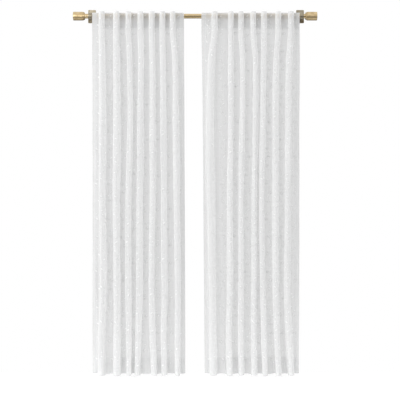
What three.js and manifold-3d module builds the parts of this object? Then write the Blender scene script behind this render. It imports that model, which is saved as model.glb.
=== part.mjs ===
// A pair of sheer voile curtain panels with back tabs, hung on a brass wall rod.
//
// Millimetres, +Z up. +X runs along the rod to the viewer's right, the room is at -Y and the wall at +Y.
// The origin is the centre of the back face of the left wall plate, where it meets the wall.

import * as THREE from 'three';
import { mergeVertices } from 'three/addons/utils/BufferGeometryUtils.js';
import Module from 'manifold-3d';

const wasm = await Module();
wasm.setup();

// ---------------------------------------------------------------- driving dimensions

const GAP = 0.3; // clearance between fitted pieces

const ROD = {
  radius: 14,
  fromWall: 89, // wall to rod axis
  height: -13, // rod axis below the centre of the wall plates
  leftEnd: -33, // inner face of the left finial
  rightEnd: 1275, // inner face of the right finial
  plugDepth: 22, // how far the rod reaches into each finial
};

const FINIAL = {
  radius: 25.5,
  length: 67,
  ferruleRadius: 22.5,
  ferruleLength: 5,
  groove: 2.2, // width and depth of the groove between ferrule and drum
  chamfer: 2,
  dish: 1.2, // how far the middle of the end face is sunk
};

const PLATE = { width: 47, height: 79, thickness: 5, cornerRadius: 5, bevel: 1, secondPlateX: 1252 };

const HOLDER = {
  ringRadius: 20,
  ringWidth: 22,
  ringBevel: 1.5,
  armRadius: 6.5,
  collarRadius: 12,
  collarLength: 5,
};

const CLOTH = {
  flatWidth: 1270, // each panel as cut and hemmed
  drop: 2134,
  topHeight: 4, // top edge of the heading above the origin
  headingBand: 95, // doubled band at the top
  hemBand: 102, // doubled band at the bottom
  single: 1.2, // solid thickness of one layer
  doubled: 2.2, // solid thickness where the cloth is folded double
  rodClearance: 2.4, // between the back of the heading and the rod
};

const TAB = { width: 30, thickness: 1.1, topLap: 5, bottomLap: 12, length: 82 };

const SEGMENTS = { fold: 10, rod: 32, finial: 24, ring: 24, arm: 16, tabArc: 6, corner: 3 };

const BRASS = { color: 0xc9a664, roughness: 0.3, metalness: 1 };
const BRONZE = { color: 0x8f7a5a, roughness: 0.4, metalness: 1 };
const VOILE = { color: 0xf4f4f2, roughness: 0.9, metalness: 0 };

// Distances below the top edge at which each fold's place is given. The heading holds the first place.
const LEVELS = [0, CLOTH.headingBand, 280, 635, 1105, 1580, 1930, CLOTH.drop];

// One row for each fold, left to right, measured in mm from the panel's own left end at the heading. The
// columns are wall, the fold's left wall at LEVELS from the second on; spread, from its left wall to its
// right wall at the same levels; cloth, its share of the cloth; lean, how far its crest leans sideways;
// and push, how far it hangs forward at the hem.
const fold = (wall, spread, cloth, lean, push) => ({ wall, spread, cloth, lean, push });

const LEFT_FOLDS = [
  fold([51, 51, 52, 49, 57, 42, 43], [21, 27, 31, 31, 31, 35, 35], 1.03, -3, 4),
  fold([133, 127, 127, 123, 130, 129, 129], [21, 34, 37, 37, 34, 35, 35], 1.08, 4, 9),
  fold([209, 218, 220, 208, 209, 213, 216], [20, 19, 22, 25, 25, 21, 18], 0.94, -4, 12),
  fold([279, 283, 275, 270, 270, 263, 260], [20, 21, 27, 29, 30, 25, 21], 1.02, -2, 5),
  fold([340, 343, 343, 342, 335, 341, 351], [21, 23, 26, 27, 29, 31, 28], 0.98, 5, 0),
  fold([408, 409, 411, 415, 418, 413, 418], [20, 25, 26, 25, 25, 26, 26], 0.97, -3, 3),
  fold([464, 476, 480, 485, 492, 493, 490], [20, 22, 25, 25, 22, 21, 23], 0.96, 3, 8),
];

const RIGHT_FOLDS = [
  fold([68, 45, 35, 40, 49, 53, 56], [22, 33, 37, 37, 35, 33, 32], 1.07, -4, 2),
  fold([160, 159, 159, 153, 152, 146, 150], [21, 22, 23, 25, 26, 27, 27], 0.97, 3, 7),
  fold([223, 232, 231, 221, 220, 218, 222], [21, 21, 21, 23, 26, 26, 26], 0.95, -2, 10),
  fold([290, 302, 302, 295, 295, 292, 291], [21, 21, 22, 22, 22, 25, 27], 0.96, 4, 4),
  fold([359, 354, 351, 342, 348, 357, 363], [21, 27, 26, 25, 26, 26, 26], 0.99, -4, 6),
  fold([441, 426, 420, 419, 422, 432, 440], [21, 27, 31, 31, 29, 23, 22], 1.02, -2, 12),
  fold([512, 499, 493, 492, 486, 495, 510], [21, 27, 31, 27, 29, 32, 27], 1.04, 3, 5),
];

// start: the panel's left end along the rod. leftEdge and rightEdge: its two side edges at LEVELS from the
// second on, in mm from that end.
const PANELS = {
  left: {
    start: 13.1,
    leftEdge: [0, 0, 0, 0, 0, 0, 0],
    rightEdge: [542, 543, 545, 547, 549, 550, 550],
    folds: LEFT_FOLDS,
  },
  right: {
    start: 658.6,
    leftEdge: [0, 3, 7, 11, 14, 17, 19],
    rightEdge: [579, 581, 580, 580, 579, 578, 577],
    folds: RIGHT_FOLDS,
  },
};

// In the heading a fold is a narrow pleat with tight feet. Below it, over a short way, the fold opens out
// and the flats between the folds settle back towards the wall.
const PLEAT = { chord: 1.3, footPower: 0.62 }; // chord: distance between its feet over its spread
const OPEN_FOLD = { chord: 2, footPower: 0.9 };
const OPENING = { over: 260 };
const SETTLE = { back: 11, over: 500 };
const EDGE_TURN = { back: 7, width: 40 }; // how the free side edges turn back towards the wall
const HEM_WAVE = { height: 2, slow: 61, quick: 23 }; // how unevenly the bottom edge hangs

// ---------------------------------------------------------------- the drape

const ease = (t) => {
  const u = Math.min(1, Math.max(0, t));
  return u * u * (3 - 2 * u);
};
const mix = (a, b, t) => a + (b - a) * t;

// Smooth curve through the values at LEVELS. The heading holds the first value all the way down its band.
function atLevel(values, drop) {
  const held = [values[0], ...values];
  const last = LEVELS.length - 1;
  const slope = (i) => {
    if (i <= 1 || i === last) return 0;
    return (held[i + 1] - held[i - 1]) / (LEVELS[i + 1] - LEVELS[i - 1]);
  };
  let i = 0;
  while (i < last - 1 && drop > LEVELS[i + 1]) i += 1;
  const span = LEVELS[i + 1] - LEVELS[i];
  const t = (drop - LEVELS[i]) / span;
  const bow = t * (1 - t) * span * ((1 - t) * slope(i) - t * slope(i + 1));
  return mix(held[i], held[i + 1], t * t * (3 - 2 * t)) + bow;
}

// A fold is a meander. Along it the cloth's direction swings from 0 at its left foot to -bend at its left
// wall, back to 0 at the crest, to +bend at its right wall and to 0 at its right foot.
function swing(u, footPower) {
  const fromFoot = u < 0.5 ? u * 2 : (1 - u) * 2;
  return (u < 0.5 ? -1 : 1) * Math.sin(Math.PI * fromFoot ** footPower);
}

// Chord over cloth length of a meander with this bend.
const MEANDER_STEPS = 100;
function spanRatio(bend, footPower) {
  let sum = 0;
  for (let k = 0; k < MEANDER_STEPS; k += 1) {
    sum += Math.cos(bend * swing((k + 0.5) / MEANDER_STEPS, footPower));
  }
  return sum / MEANDER_STEPS;
}

const MAX_BEND = 2.3;
function bendFor(ratio, footPower) {
  let low = 0;
  let high = MAX_BEND;
  for (let k = 0; k < 20; k += 1) {
    const middle = (low + high) / 2;
    if (spanRatio(middle, footPower) > ratio) low = middle;
    else high = middle;
  }
  return (low + high) / 2;
}

// One fold in plan, as points from its left foot up to, but not including, its right foot.
function foldPoints(row, drop, start, chord, length, footPower) {
  const bend = bendFor(chord / length, footPower);
  const push = row.push * (drop / CLOTH.drop) ** 2;
  const fineSteps = MEANDER_STEPS / SEGMENTS.fold;
  const points = [];
  let x = start;
  let forward = 0;
  for (let k = 0; k < MEANDER_STEPS; k += 1) {
    const u = k / MEANDER_STEPS;
    const crest = Math.sin(Math.PI * u) ** 2;
    if (k % fineSteps === 0) points.push({ x: x + row.lean * crest, forward: forward + push * crest });
    const direction = bend * swing((k + 0.5) / MEANDER_STEPS, footPower);
    x += (Math.cos(direction) * length) / MEANDER_STEPS;
    forward -= (Math.sin(direction) * length) / MEANDER_STEPS;
  }
  return points;
}

// The feet of a panel's folds at one level, as pairs of distances from the panel's own left end.
function footPairs(panel, drop) {
  const chordFactor = mix(PLEAT.chord, OPEN_FOLD.chord, ease((drop - CLOTH.headingBand) / OPENING.over));
  return panel.folds.map((row) => {
    const spread = atLevel(row.spread, drop);
    const middle = atLevel(row.wall, drop) + spread / 2;
    return [middle - (spread * chordFactor) / 2, middle + (spread * chordFactor) / 2];
  });
}

// One level of a panel in plan: the middle surface of the cloth from its left edge to its right edge, as
// points with x along the rod and back, the distance behind the flats of the heading.
function planAt(panel, drop) {
  const open = ease((drop - CLOTH.headingBand) / OPENING.over);
  const free = ease((drop - CLOTH.headingBand) / SETTLE.over);
  const footPower = mix(PLEAT.footPower, OPEN_FOLD.footPower, open);
  const left = atLevel(panel.leftEdge, drop);
  const right = atLevel(panel.rightEdge, drop);
  const feet = footPairs(panel, drop);
  const chords = feet.map(([leftFoot, rightFoot]) => rightFoot - leftFoot);
  const clothInFlats = right - left - chords.reduce((sum, chord) => sum + chord, 0);
  const shares = panel.folds.reduce((sum, row) => sum + row.cloth, 0);

  const points = [{ x: left, forward: 0 }];
  points.push({ x: mix(left, feet[0][0], 0.5), forward: 0 });
  panel.folds.forEach((row, i) => {
    const length = ((CLOTH.flatWidth - clothInFlats) * row.cloth) / shares;
    points.push(...foldPoints(row, drop, feet[i][0], chords[i], length, footPower));
    points.push({ x: feet[i][1], forward: 0 });
  });
  points.push({ x: mix(right, feet.at(-1)[1], 0.5), forward: 0 });
  points.push({ x: right, forward: 0 });

  return points.map(({ x, forward }) => {
    const fromEdge = Math.min(x - left, right - x) / EDGE_TURN.width;
    const turn = EDGE_TURN.back * free * Math.max(0, 1 - fromEdge) ** 2;
    return { x: panel.start + x, back: SETTLE.back * free + turn - forward };
  });
}

// ---------------------------------------------------------------- cloth solids

const HEADING_PLANE = -(ROD.fromWall + ROD.radius + CLOTH.rodClearance); // back face of the heading's flats
const HEM_START = CLOTH.drop - CLOTH.hemBand;

// Levels of the mesh, closest together where the folds open out. The thickness steps down below the heading
// and up again at the hem.
const BAND_STEP = 2;
const OPENING_ROWS = [120, 145, 172, 200, 230, 262, 298, 340, 400];
const BODY_ROWS = [600, 850, 1105, 1360, 1610, 1830];
const ROWS = [
  0,
  CLOTH.headingBand,
  CLOTH.headingBand + BAND_STEP,
  ...OPENING_ROWS,
  ...BODY_ROWS,
  HEM_START - BAND_STEP,
  HEM_START,
  CLOTH.drop,
];

function thicknessAt(drop) {
  return drop <= CLOTH.headingBand || drop >= HEM_START ? CLOTH.doubled : CLOTH.single;
}

function hemHeight(x) {
  const wave = Math.sin(x / HEM_WAVE.slow) * Math.sin(x / HEM_WAVE.quick);
  return CLOTH.topHeight - CLOTH.drop + HEM_WAVE.height * (1 + wave);
}

// A closed sheet: its front and back skins, and the strips round its four edges.
function sheetGeometry(panel) {
  const middlePlane = HEADING_PLANE - CLOTH.doubled / 2;
  const rows = ROWS.map((drop) => {
    const plan = planAt(panel, drop);
    const half = thicknessAt(drop) / 2;
    return plan.map((point, i) => {
      const before = plan[Math.max(0, i - 1)];
      const after = plan[Math.min(plan.length - 1, i + 1)];
      const run = Math.hypot(after.x - before.x, after.back - before.back);
      const normal = { x: -(after.back - before.back) / run, y: (after.x - before.x) / run };
      const height = drop === CLOTH.drop ? hemHeight(point.x) : CLOTH.topHeight - drop;
      const at = (offset) => [
        point.x + normal.x * offset,
        middlePlane + point.back + normal.y * offset,
        height,
      ];
      return { front: at(-half), back: at(half) };
    });
  });

  const columns = rows[0].length;
  const skin = rows.length * columns;
  const positions = [
    ...rows.flatMap((row) => row.flatMap((point) => point.front)),
    ...rows.flatMap((row) => row.flatMap((point) => point.back)),
  ];
  const triangles = [];
  const quad = (a, b, c, d) => triangles.push(a, b, c, a, c, d);
  const index = (row, column) => row * columns + column;
  for (let r = 0; r < rows.length - 1; r += 1) {
    for (let c = 0; c < columns - 1; c += 1) {
      const corners = [index(r, c), index(r + 1, c), index(r + 1, c + 1), index(r, c + 1)];
      quad(...corners);
      quad(...corners.map((i) => i + skin).reverse());
    }
    const end = columns - 1;
    quad(index(r, 0), index(r, 0) + skin, index(r + 1, 0) + skin, index(r + 1, 0));
    quad(index(r + 1, end), index(r + 1, end) + skin, index(r, end) + skin, index(r, end));
  }
  const bottom = rows.length - 1;
  for (let c = 0; c < columns - 1; c += 1) {
    quad(index(0, c + 1), index(0, c + 1) + skin, index(0, c) + skin, index(0, c));
    quad(index(bottom, c), index(bottom, c) + skin, index(bottom, c + 1) + skin, index(bottom, c + 1));
  }

  const geometry = new THREE.BufferGeometry();
  geometry.setAttribute('position', new THREE.Float32BufferAttribute(positions, 3));
  geometry.setIndex(triangles);
  geometry.computeVertexNormals();
  return geometry;
}

// ---------------------------------------------------------------- back tabs

// The centre line of a tab, seen along the rod, with x towards the wall and y up from the rod's axis. It
// laps the back of the heading, passes over the rod, goes down behind it and returns to the heading.
function tabLine() {
  const seam = -(ROD.radius + CLOTH.rodClearance) + GAP + TAB.thickness / 2;
  const onRod = ROD.radius + GAP + TAB.thickness / 2;
  const bottom = onRod - TAB.length;
  const lowerSeam = new THREE.Vector2(seam, bottom + TAB.bottomLap);
  const seamAngle = Math.PI + Math.atan(seam / lowerSeam.y); // all angles from the top of the rod, backwards
  const leaveAngle = seamAngle - Math.acos(onRod / lowerSeam.length());
  const line = [new THREE.Vector2(seam, onRod - TAB.topLap), new THREE.Vector2(seam, onRod)];
  for (let k = 0; k <= SEGMENTS.tabArc; k += 1) {
    const angle = (k / SEGMENTS.tabArc) * leaveAngle;
    line.push(new THREE.Vector2(onRod * Math.sin(angle), onRod * Math.cos(angle)));
  }
  line.push(lowerSeam, new THREE.Vector2(seam, bottom));
  return line;
}

// Both sides of a line, half the thickness away, joined into one closed outline.
function stripOutline(line, thickness) {
  const normals = line.map((point, i) => {
    const after = line[Math.min(line.length - 1, i + 1)].clone();
    const along = after.sub(line[Math.max(0, i - 1)]).normalize();
    return new THREE.Vector2(-along.y, along.x);
  });
  const side = (offset) => line.map((point, i) => point.clone().addScaledVector(normals[i], offset));
  return new THREE.Shape([...side(thickness / 2), ...side(-thickness / 2).reverse()]);
}

// Turns shapes drawn with x towards the wall and y up, so that they are extruded along the rod.
const ALONG_ROD = new THREE.Matrix4().makeBasis(
  new THREE.Vector3(0, 1, 0),
  new THREE.Vector3(0, 0, 1),
  new THREE.Vector3(1, 0, 0),
);

function tabGeometry() {
  const strip = new THREE.ExtrudeGeometry(stripOutline(tabLine(), TAB.thickness), {
    depth: TAB.width,
    bevelEnabled: false,
  });
  return strip.translate(0, 0, -TAB.width / 2).applyMatrix4(ALONG_ROD);
}

// Middles of the heading's flats: one before, between and after its pleats.
function flatMiddles(panel) {
  const feet = footPairs(panel, 0);
  const starts = [panel.leftEdge[0], ...feet.map(([, rightFoot]) => rightFoot)];
  const ends = [...feet.map(([leftFoot]) => leftFoot), panel.rightEdge[0]];
  return starts.map((start, i) => panel.start + (start + ends[i]) / 2);
}

// ---------------------------------------------------------------- rod, finials and brackets

// A lathe shape whose axis lies along the rod, with distance along it growing towards +X.
function turned(profile, segments) {
  const points = profile.map(([radius, along]) => new THREE.Vector2(radius, along));
  return new THREE.LatheGeometry(points, segments).rotateZ(-Math.PI / 2);
}

function rodGeometry() {
  const length = ROD.rightEnd - ROD.leftEnd + 2 * ROD.plugDepth;
  return new THREE.CylinderGeometry(ROD.radius, ROD.radius, length, SEGMENTS.rod).rotateZ(Math.PI / 2);
}

// A plain drum with a ferrule, a turned groove and a socket for the rod. Its mouth is at 0 and it points
// along +X.
function finialGeometry() {
  const { radius, length, ferruleRadius, ferruleLength, groove, chamfer, dish } = FINIAL;
  const socket = ROD.radius + GAP;
  const drumStart = ferruleLength + groove;
  return turned(
    [
      [0, ROD.plugDepth + GAP],
      [socket, ROD.plugDepth + GAP],
      [socket, 0],
      [ferruleRadius, 0],
      [ferruleRadius, ferruleLength],
      [ferruleRadius - groove, ferruleLength],
      [ferruleRadius - groove, drumStart],
      [radius - chamfer, drumStart],
      [radius, drumStart + chamfer],
      [radius, length - chamfer],
      [radius - chamfer, length],
      [radius - 2 * chamfer, length],
      [radius - 3 * chamfer, length - dish],
      [0, length - dish],
    ],
    SEGMENTS.finial,
  );
}

// A flat plate with rounded corners and a bevelled front rim. Its back face is at y = 0.
function plateGeometry() {
  const { width, height, thickness, cornerRadius, bevel } = PLATE;
  const x = width / 2 - bevel;
  const y = height / 2 - bevel;
  const r = cornerRadius;
  const outline = new THREE.Shape();
  outline.moveTo(-x + r, -y);
  outline.lineTo(x - r, -y);
  outline.absarc(x - r, -y + r, r, -Math.PI / 2, 0);
  outline.absarc(x - r, y - r, r, 0, Math.PI / 2);
  outline.absarc(-x + r, y - r, r, Math.PI / 2, Math.PI);
  outline.absarc(-x + r, -y + r, r, Math.PI, 1.5 * Math.PI);
  const plate = new THREE.ExtrudeGeometry(outline, {
    depth: thickness - 2 * bevel,
    bevelThickness: bevel,
    bevelSize: bevel,
    bevelSegments: 1,
    curveSegments: SEGMENTS.corner,
  });
  return plate.translate(0, 0, bevel).rotateX(Math.PI / 2);
}

function toManifold(geometry) {
  const bare = geometry.clone();
  bare.deleteAttribute('normal');
  bare.deleteAttribute('uv');
  const merged = mergeVertices(bare, 1e-3);
  return new wasm.Manifold(
    new wasm.Mesh({
      numProp: 3,
      vertProperties: new Float32Array(merged.attributes.position.array),
      triVerts: new Uint32Array(merged.index.array),
    }),
  );
}

function fromManifold(solid) {
  const mesh = solid.getMesh();
  const geometry = new THREE.BufferGeometry();
  geometry.setAttribute('position', new THREE.Float32BufferAttribute(mesh.vertProperties, 3));
  geometry.setIndex(Array.from(mesh.triVerts));
  geometry.computeVertexNormals();
  return geometry;
}

// An arm from the wall plate that ends in a ring round the rod, centred on the rod's axis.
function holderGeometry() {
  const { ringRadius, ringWidth, ringBevel, armRadius, collarRadius, collarLength } = HOLDER;
  const bore = ROD.radius + GAP;
  const end = ringWidth / 2;
  const ring = turned(
    [
      [bore, -end],
      [ringRadius - ringBevel, -end],
      [ringRadius, -end + ringBevel],
      [ringRadius, end - ringBevel],
      [ringRadius - ringBevel, end],
      [bore, end],
      [bore, -end],
    ],
    SEGMENTS.ring,
  );
  const foot = ROD.fromWall - PLATE.thickness - GAP;
  const intoRing = (bore + ringRadius) / 2;
  const arm = new THREE.CylinderGeometry(armRadius, armRadius, foot - intoRing, SEGMENTS.arm);
  arm.translate(0, (foot + intoRing) / 2, 0);
  const collar = new THREE.CylinderGeometry(collarRadius, collarRadius, collarLength, SEGMENTS.arm);
  collar.translate(0, foot - collarLength / 2, 0);
  return fromManifold(toManifold(ring).add(toManifold(arm)).add(toManifold(collar)));
}

// ---------------------------------------------------------------- the assembly

const object = new THREE.Group();

function addPiece(name, geometry, finish, place = [0, 0, 0]) {
  const mesh = new THREE.Mesh(geometry, new THREE.MeshStandardMaterial(finish));
  mesh.name = name;
  mesh.position.set(...place);
  object.add(mesh);
  return mesh;
}

const axis = { y: -ROD.fromWall, z: ROD.height };

for (const [side, panel] of Object.entries(PANELS)) {
  addPiece(`${side}_panel`, sheetGeometry(panel), VOILE);
  flatMiddles(panel).forEach((x, i) => {
    addPiece(`${side}_tab_${i + 1}`, tabGeometry(), VOILE, [x, axis.y, axis.z]);
  });
}

const brackets = { left: 0, right: PLATE.secondPlateX };
for (const [side, x] of Object.entries(brackets)) {
  addPiece(`${side}_wall_plate`, plateGeometry(), BRONZE, [x, 0, 0]);
  addPiece(`${side}_ring_arm`, holderGeometry(), BRONZE, [x, axis.y, axis.z]);
}

addPiece('rod', rodGeometry(), BRASS, [(ROD.leftEnd + ROD.rightEnd) / 2, axis.y, axis.z]);
addPiece('right_finial', finialGeometry(), BRASS, [ROD.rightEnd, axis.y, axis.z]);
addPiece('left_finial', finialGeometry().rotateZ(Math.PI), BRASS, [ROD.leftEnd, axis.y, axis.z]);

export default object;
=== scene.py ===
"""A pair of sheer voile curtain panels on a brass wall rod: the finished looks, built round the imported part.

Lengths are metres, or mm where a name or a comment says so. +X runs along the rod, the room is at -Y, the
wall at +Y and +Z is up. The origin is the centre of the back face of the left wall plate. Every piece is a
surface worked out on a grid of two parameters and put into its mesh as whole arrays.
"""

from __future__ import annotations

import logging
import math
import sys
from collections.abc import Callable
from dataclasses import dataclass, field, replace
from enum import Enum
from typing import Any

import bpy
import numpy as np
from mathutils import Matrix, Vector
from numpy.typing import NDArray

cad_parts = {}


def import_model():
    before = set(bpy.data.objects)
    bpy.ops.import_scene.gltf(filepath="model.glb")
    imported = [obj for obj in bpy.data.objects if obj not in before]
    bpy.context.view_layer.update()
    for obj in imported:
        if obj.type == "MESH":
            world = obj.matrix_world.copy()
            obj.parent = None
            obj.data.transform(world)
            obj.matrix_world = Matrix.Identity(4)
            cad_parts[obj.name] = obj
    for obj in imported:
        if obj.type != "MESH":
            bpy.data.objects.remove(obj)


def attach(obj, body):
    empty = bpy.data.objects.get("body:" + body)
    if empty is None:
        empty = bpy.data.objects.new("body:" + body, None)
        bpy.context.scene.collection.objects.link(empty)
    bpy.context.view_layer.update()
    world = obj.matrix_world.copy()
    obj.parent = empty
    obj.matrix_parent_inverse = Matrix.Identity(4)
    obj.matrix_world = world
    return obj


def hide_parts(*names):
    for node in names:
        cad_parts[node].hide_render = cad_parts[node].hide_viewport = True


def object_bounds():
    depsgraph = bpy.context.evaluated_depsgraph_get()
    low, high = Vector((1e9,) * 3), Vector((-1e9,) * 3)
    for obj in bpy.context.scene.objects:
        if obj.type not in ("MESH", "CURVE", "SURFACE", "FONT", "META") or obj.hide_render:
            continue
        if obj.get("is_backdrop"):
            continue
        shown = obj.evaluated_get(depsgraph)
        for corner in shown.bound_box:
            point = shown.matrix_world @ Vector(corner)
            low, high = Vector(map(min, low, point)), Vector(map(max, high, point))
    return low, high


Array = NDArray[np.float64]
Faces = NDArray[np.int64]
Field = Array | float  # numbers at many places, or one number for all of them
Place = tuple[float, float, float]
Colour = tuple[float, float, float, float]

LOG = logging.getLogger("voile_curtain")
MM = 0.001
WHITE: Colour = (1, 1, 1, 1)
BODY = "root"
UV_NAME = "cloth"
STAND = "stand"  # the number by point that says how far the cloth is turned out of the wall's direction


# ---- surfaces


@dataclass(frozen=True)
class Surface:
    """Points and faces of one piece, with its pattern coordinates and other numbers by point."""

    points: Array  # one row for each point
    faces: Faces  # one row of four corners for each face, with a corner twice where it has only three
    uv: Array  # pattern coordinates by point, in metres
    values: dict[str, Array] = field(default_factory=dict)  # other numbers by point, by name

    def moved(self, x: float, y: float, z: float) -> Surface:
        """Returns this surface shifted by x, y and z."""
        return replace(self, points=self.points + np.array([x, y, z]))

    def mirrored(self) -> Surface:
        """Returns this surface with X turned round, its faces still pointing out."""
        return replace(self, points=self.points * np.array([-1.0, 1.0, 1.0]), faces=self.faces[:, ::-1])

    def to_object(self, name: str) -> bpy.types.Object:
        """Puts the surface into a new mesh object at the origin.

        Args:
            name: the object's name.

        Returns:
            The object, linked to the scene, with smooth faces.
        """
        keep = np.ones(self.faces.shape, bool)
        keep[:, 1:] = self.faces[:, 1:] != self.faces[:, :-1]
        counts = keep.sum(1)
        corners = self.faces[keep]
        mesh = bpy.data.meshes.new(name)
        mesh.vertices.add(len(self.points))
        mesh.vertices.foreach_set("co", self.points.astype(np.float32).ravel())
        mesh.loops.add(len(corners))
        mesh.loops.foreach_set("vertex_index", corners.astype(np.int32))
        mesh.polygons.add(len(counts))
        mesh.polygons.foreach_set("loop_start", (np.cumsum(counts) - counts).astype(np.int32))
        mesh.polygons.foreach_set("use_smooth", np.ones(len(counts), bool))
        layer = mesh.uv_layers.new(name=UV_NAME)
        layer.data.foreach_set("uv", self.uv[corners].astype(np.float32).ravel())
        for key, numbers in self.values.items():
            column = mesh.attributes.new(key, "FLOAT", "POINT")
            column.data.foreach_set("value", numbers.astype(np.float32))
        mesh.update(calc_edges=True)
        mesh.validate()
        piece = bpy.data.objects.new(name, mesh)
        bpy.context.scene.collection.objects.link(piece)
        return piece


def joined(parts: list[Surface]) -> Surface:
    """Puts several surfaces together, each still a shell of its own.

    Args:
        parts: surfaces that have no other numbers by point.

    Returns:
        All of them as one surface.
    """
    starts = np.cumsum([0] + [len(part.points) for part in parts[:-1]])
    return Surface(
        np.vstack([part.points for part in parts]),
        np.vstack([part.faces + start for part, start in zip(parts, starts)]),
        np.vstack([part.uv for part in parts]),
    )


def grid_faces(rows: int, columns: int, round_rows: bool = False, round_columns: bool = False) -> Faces:
    """Faces of a grid of points stored row by row.

    Args:
        rows: how many rows of points.
        columns: how many points in a row.
        round_rows: whether the last row meets the first.
        round_columns: whether the last column meets the first.

    Returns:
        One row of four point numbers for each face, so that a face's outside is on the side of the cross
        product of the way down the rows and the way along them.
    """
    last_row = rows if round_rows else rows - 1
    last_column = columns if round_columns else columns - 1
    r, c = np.meshgrid(np.arange(last_row), np.arange(last_column), indexing="ij")
    below, after = (r + 1) % rows, (c + 1) % columns
    corners = [r * columns + c, below * columns + c, below * columns + after, r * columns + after]
    return np.stack(corners, -1).reshape(-1, 4)


def spindle(points: Array, uv: Array, backwards: bool = False) -> Surface:
    """Joins rings of points into a closed surface whose first and last rings are each a single place.

    Args:
        points: the rings in order, the first and the last each holding one place many times over.
        uv: the pattern coordinates, in the same rings.
        backwards: whether the rings run the other way round, so that the faces have to be turned.

    Returns:
        The surface, with one point at each end and three-cornered faces round it.
    """
    rows, columns = points.shape[:2]
    count = rows * columns
    number = np.arange(count)
    number[:columns] = columns - 1
    number[count - columns :] = count - columns
    number -= columns - 1
    kept = slice(columns - 1, count - columns + 1)
    faces = number[grid_faces(rows, columns, round_columns=True)[:, :: -1 if backwards else 1]]
    at_start = faces[:, 0] == faces[:, 3]
    faces[at_start] = faces[at_start][:, [0, 1, 2, 2]]
    return Surface(points.reshape(-1, 3)[kept], faces, uv.reshape(-1, 2)[kept])


def way_along(line: Array) -> Array:
    """Returns the distance along a line of points to each of them, from 0 at the first."""
    return np.r_[0, np.cumsum(np.hypot(*np.diff(line, axis=0).T))]


def turned(profile: Array, steps: int, ring: bool = False) -> Surface:
    """Carries a profile round the X axis.

    At angle a, the profile point (radius, along) lies at (along, radius * sin a, radius * cos a).

    Args:
        profile: rows of radius and distance along X, running towards +X on the outside.
        steps: how many faces go round.
        ring: whether the profile closes on itself. Otherwise it starts and ends on the axis.

    Returns:
        The closed surface, with the distance round and the distance along the profile as its uv.
    """
    angle = np.arange(steps) * 2 * np.pi / steps
    radius, along = profile[:, :1], profile[:, 1:]
    points = np.stack(np.broadcast_arrays(along, radius * np.sin(angle), radius * np.cos(angle)), -1)
    uv = np.stack(np.broadcast_arrays(angle * profile[:, 0].max(), way_along(profile)[:, None]), -1)
    if not ring:
        return spindle(points, uv)
    faces = grid_faces(len(profile), steps, round_rows=True, round_columns=True)
    return Surface(points.reshape(-1, 3), faces, uv.reshape(-1, 2))


def rounded(corners: list[Place], steps: int) -> Array:
    """Rounds the corners of a profile.

    At each corner the two straight stretches are cut back by the same length, and an arc that touches both
    takes the corner's place. A point close by on each stretch, a fifth of the radius further on, keeps the
    shading of the stretch flat.

    Args:
        corners: the profile's corners, each with the radius it gets, or 0 to keep it sharp.
        steps: how many straight steps make each arc.

    Returns:
        The rounded profile, one row for each point.
    """
    every = np.array(corners, float)[:, :2]
    found = []
    for i, (corner, (_, _, radius)) in enumerate(zip(every, corners)):
        if radius == 0:
            found.append(corner[None])
            continue
        to_last = every[i - 1] - corner
        to_next = every[(i + 1) % len(every)] - corner
        to_last /= np.hypot(*to_last)
        to_next /= np.hypot(*to_next)
        half = math.acos(float(np.clip(to_last @ to_next, -1, 1))) / 2
        cut = radius / math.tan(half)
        middle = (to_last + to_next) / np.hypot(*(to_last + to_next)) * radius / math.sin(half)
        start, end = to_last * cut - middle, to_next * cut - middle
        turn = math.pi - 2 * half
        share = np.linspace(0, 1, steps + 1)[:, None]
        arc = (np.sin((1 - share) * turn) * start + np.sin(share * turn) * end) / math.sin(turn)
        hold = cut + 0.2 * radius
        found += [corner + [to_last * hold], corner + middle + arc, corner + [to_next * hold]]
    return np.vstack(found)


def smoothstep(t: Array | float) -> Array:
    """Returns a smooth rise from 0 at t = 0 to 1 at t = 1, flat at both ends and held outside them."""
    u = np.clip(t, 0.0, 1.0)
    return u * u * (3 - 2 * u)


# ---- sizes of the part


@dataclass(frozen=True)
class Hardware:
    """Sizes that the rod, its finials, its brackets and the back tabs share."""

    gap: float = 0.3 * MM  # between pieces that touch
    rod_radius: float = 14 * MM
    rod_from_wall: float = 89 * MM
    rod_height: float = -13 * MM
    rod_left_end: float = -33 * MM  # where the left finial starts
    rod_right_end: float = 1275 * MM  # where the right finial starts
    plug_depth: float = 22 * MM  # how deep the rod goes into a finial
    second_bracket: float = 1252 * MM  # from the first one

    @property
    def axis(self) -> tuple[float, float]:
        """The y and z of the rod's middle line."""
        return (-self.rod_from_wall, self.rod_height)


@dataclass(frozen=True)
class ClothSizes:
    """Sizes of one panel as it is cut, hemmed and hung."""

    flat_width: float = 1270 * MM  # the finished panel laid flat
    drop: float = 2134 * MM  # from the top edge to the bottom edge
    top_height: float = 4 * MM  # the top edge above the origin
    heading_band: float = 95 * MM  # how deep the cloth is turned down behind the heading
    hem_band: float = 102 * MM  # how deep it is turned up behind the bottom hem
    side_hem: float = 26 * MM  # how wide it is turned back at each side
    rod_clearance: float = 2.4 * MM  # from the heading's back face to the rod
    half_heading: float = 1.1 * MM  # half the thickness that the heading takes up
    side_lift: float = 0.55 * MM  # how far a side hem's turned layer lies behind the face layer
    band_lift: float = 0.95 * MM  # how far a band's turned layer lies behind it

    @property
    def cut(self) -> tuple[float, float]:
        """The cloth's width and length before it is hemmed."""
        return (self.flat_width + 2 * self.side_hem, self.drop + self.heading_band + self.hem_band)


HARDWARE = Hardware()
CLOTH = ClothSizes()
LEVELS_MM = np.array([0, 95, 280, 635, 1105, 1580, 1930, 2134], float)  # below the top edge


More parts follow.
